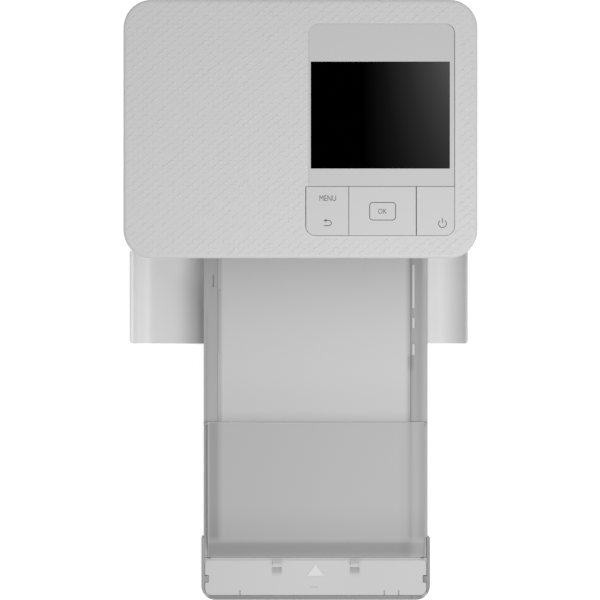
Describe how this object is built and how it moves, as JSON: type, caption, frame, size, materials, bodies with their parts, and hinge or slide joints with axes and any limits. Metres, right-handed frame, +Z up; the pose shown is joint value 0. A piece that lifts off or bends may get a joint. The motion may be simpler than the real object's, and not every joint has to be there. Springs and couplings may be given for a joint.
{
  "type": "photo printer",
  "caption": "Compact photo printer with a tilted-down front door, a pushed-in paper cassette, a framed screen and a row of keys on its flat top.",
  "frame": {"origin": "middle of the footprint on the table", "axes": "+X to the right, -Y towards the user along the cassette, +Z up"},
  "size_m": [0.1822, 0.3104, 0.0576],
  "materials": {
    "case_plastic": "white, finely textured",
    "door_plastic": "white, smooth",
    "fascia_plastic": "light grey, smooth",
    "rubber": "black",
    "screw_steel": "zinc plated",
    "surround_plastic": "white, smooth satin",
    "screen_gloss": "black gloss",
    "display_black": "black",
    "board_green": "green circuit board",
    "key_plastic": "white satin",
    "lamp": "clear",
    "pin_steel": "polished",
    "lever_plastic": "blue",
    "sheet_steel": "zinc plated",
    "platen_rubber": "ground rubber",
    "roller_steel": "fine ground",
    "gear_plastic": "natural acetal",
    "brass": "turned",
    "motor_steel": "zinc plated",
    "head_board": "ceramic and board",
    "heat_sink_metal": "extruded",
    "spring_steel": "spring wire",
    "cartridge_plastic": "dark grey",
    "ribbon_film": "dyed film",
    "socket_metal": "nickel plated",
    "black_plastic": "black",
    "tray_plastic": "grey smoke",
    "plate_plastic": "pale grey",
    "lid_plastic": "frosted grey",
    "inner_lid_plastic": "frosted pale grey"
  },
  "bodies": {
    "printer": {"bottom_case": "case_plastic", "top_case": "case_plastic", "rear_cover": "case_plastic", "front_fascia": "fascia_plastic", "rubber_feet": "rubber", "case_screws": "screw_steel", "screen_surround": "surround_plastic", "screen_window": "screen_gloss", "display_module": "display_black", "key_board": "board_green", "power_lamp": "lamp", "left_side_plate": "sheet_steel", "right_side_plate": "sheet_steel", "cross_members": "sheet_steel", "chassis_screws": "screw_steel", "idler_post": "roller_steel", "feed_motor": "motor_steel", "ribbon_motor": "motor_steel", "ribbon_case": "cartridge_plastic", "ink_ribbon": "ribbon_film", "main_board": "board_green", "card_slot": "socket_metal", "usb_port": "socket_metal", "power_jack": "black_plastic", "fan_housing": "black_plastic"},
    "front_door": {"front_door": "door_plastic", "front_door_pins": "pin_steel"},
    "ribbon_door": {"ribbon_door": "case_plastic", "ribbon_door_pins": "pin_steel"},
    "eject_lever": {"eject_lever": "lever_plastic"},
    "menu_key": {"menu_key": "key_plastic"},
    "navigation_key": {"navigation_key": "key_plastic"},
    "ok_key": {"ok_key": "key_plastic"},
    "power_key": {"power_key": "key_plastic"},
    "platen": {"platen_roller": "platen_rubber"},
    "capstan": {"capstan_roller": "roller_steel", "capstan_gear": "gear_plastic"},
    "pinch": {"pinch_roller": "roller_steel"},
    "pickup": {"pickup_roller": "platen_rubber", "pickup_gear": "gear_plastic"},
    "idler": {"idler_gear": "gear_plastic"},
    "feed_shaft": {"feed_pinion": "brass"},
    "ribbon_shaft": {"ribbon_pinion": "brass"},
    "takeup": {"takeup_gear": "gear_plastic", "takeup_spool": "ribbon_film"},
    "supply": {"supply_spool": "ribbon_film"},
    "head": {"head_arm": "sheet_steel", "print_head": "head_board", "heat_sink": "heat_sink_metal", "head_springs": "spring_steel"},
    "fan": {"fan_rotor": "black_plastic"},
    "cassette": {"cassette_tray": "tray_plastic", "cassette_front_plate": "plate_plastic", "edge_guides": "tray_plastic"},
    "outer_lid": {"outer_lid": "lid_plastic", "outer_lid_pins": "pin_steel"},
    "inner_lid": {"inner_lid": "inner_lid_plastic", "inner_lid_pins": "pin_steel"},
    "lift_plate": {"lift_plate": "sheet_steel"}
  },
  "joints": [
    {"name": "front_door_hinge", "type": "hinge", "parent": "printer", "child": "front_door", "pos_m": [0, 0.02645, 0.005], "axis": [1, 0, 0], "range_deg": [-6, 0]},
    {"name": "ribbon_door_hinge", "type": "hinge", "parent": "printer", "child": "ribbon_door", "pos_m": [0.0898, 0.09325, 0.0132], "axis": [0, 1, 0], "range_deg": [0, 90]},
    {"name": "eject_lever_pivot", "type": "hinge", "parent": "printer", "child": "eject_lever", "pos_m": [0.0725, 0.12225, 0.02], "axis": [1, 0, 0], "range_deg": [0, 14]},
    {"name": "menu_key_press", "type": "slide", "parent": "printer", "child": "menu_key", "axis": [0, 0, -1], "range_m": [0, 0.0004], "stiffness_N_per_m": 300, "springref_m": -0.001},
    {"name": "navigation_key_press", "type": "slide", "parent": "printer", "child": "navigation_key", "axis": [0, 0, -1], "range_m": [0, 0.0004], "stiffness_N_per_m": 300, "springref_m": -0.001},
    {"name": "ok_key_press", "type": "slide", "parent": "printer", "child": "ok_key", "axis": [0, 0, -1], "range_m": [0, 0.0004], "stiffness_N_per_m": 300, "springref_m": -0.001},
    {"name": "power_key_press", "type": "slide", "parent": "printer", "child": "power_key", "axis": [0, 0, -1], "range_m": [0, 0.0004], "stiffness_N_per_m": 300, "springref_m": -0.001},
    {"name": "platen_spin", "type": "hinge", "parent": "printer", "child": "platen", "pos_m": [0, 0.08825, 0.025], "axis": [1, 0, 0], "continuous": true},
    {"name": "capstan_spin", "type": "hinge", "parent": "printer", "child": "capstan", "pos_m": [0, 0.07625, 0.0295], "axis": [1, 0, 0], "continuous": true},
    {"name": "pinch_spin", "type": "hinge", "parent": "printer", "child": "pinch", "pos_m": [0, 0.07625, 0.03465], "axis": [1, 0, 0], "continuous": true},
    {"name": "pickup_spin", "type": "hinge", "parent": "printer", "child": "pickup", "pos_m": [0, 0.04625, 0.026], "axis": [1, 0, 0], "continuous": true},
    {"name": "idler_spin", "type": "hinge", "parent": "printer", "child": "idler", "pos_m": [0, 0.06069, 0.02127], "axis": [1, 0, 0], "continuous": true},
    {"name": "feed_motor_spin", "type": "hinge", "parent": "printer", "child": "feed_shaft", "pos_m": [0, 0.08465, 0.01495], "axis": [1, 0, 0], "continuous": true},
    {"name": "takeup_spin", "type": "hinge", "parent": "printer", "child": "takeup", "pos_m": [0, 0.06625, 0.044], "axis": [1, 0, 0], "continuous": true},
    {"name": "supply_spin", "type": "hinge", "parent": "printer", "child": "supply", "pos_m": [0, 0.11225, 0.0409], "axis": [1, 0, 0], "continuous": true},
    {"name": "ribbon_motor_spin", "type": "hinge", "parent": "printer", "child": "ribbon_shaft", "pos_m": [0, 0.08065, 0.044], "axis": [1, 0, 0], "continuous": true},
    {"name": "head_lift", "type": "hinge", "parent": "printer", "child": "head", "pos_m": [0, 0.12825, 0.046], "axis": [-1, 0, 0], "range_deg": [0, 1.5], "stiffness_Nm_per_rad": 0.5, "springref_deg": -5.73},
    {"name": "fan_spin", "type": "hinge", "parent": "printer", "child": "fan", "pos_m": [-0.062, 0.14125, 0.022], "axis": [0, 1, 0], "continuous": true},
    {"name": "cassette_slide", "type": "slide", "parent": "printer", "child": "cassette", "axis": [0, -1, 0], "range_m": [0, 0.08]},
    {"name": "outer_lid_hinge", "type": "hinge", "parent": "cassette", "child": "outer_lid", "pos_m": [0.0079, -0.06355, 0.0289], "axis": [1, 0, 0], "range_deg": [-176, 0]},
    {"name": "inner_lid_hinge", "type": "hinge", "parent": "cassette", "child": "inner_lid", "pos_m": [0.0071, -0.06125, 0.0264], "axis": [1, 0, 0], "range_deg": [0, 90]},
    {"name": "lift_plate_hinge", "type": "hinge", "parent": "cassette", "child": "lift_plate", "pos_m": [0.0071, -0.11575, 0.012], "axis": [1, 0, 0], "range_deg": [0, 2.2]}
  ],
  "couplings": [
    {"joint": "pinch_spin", "follows": "capstan_spin", "ratio": -1},
    {"joint": "idler_spin", "follows": "capstan_spin", "ratio": -2.1429},
    {"joint": "pickup_spin", "follows": "capstan_spin", "ratio": 1.25},
    {"joint": "feed_motor_spin", "follows": "capstan_spin", "ratio": -2.5},
    {"joint": "ribbon_motor_spin", "follows": "takeup_spin", "ratio": -2},
    {"joint": "supply_spin", "follows": "takeup_spin", "ratio": -0.8254}
  ]
}
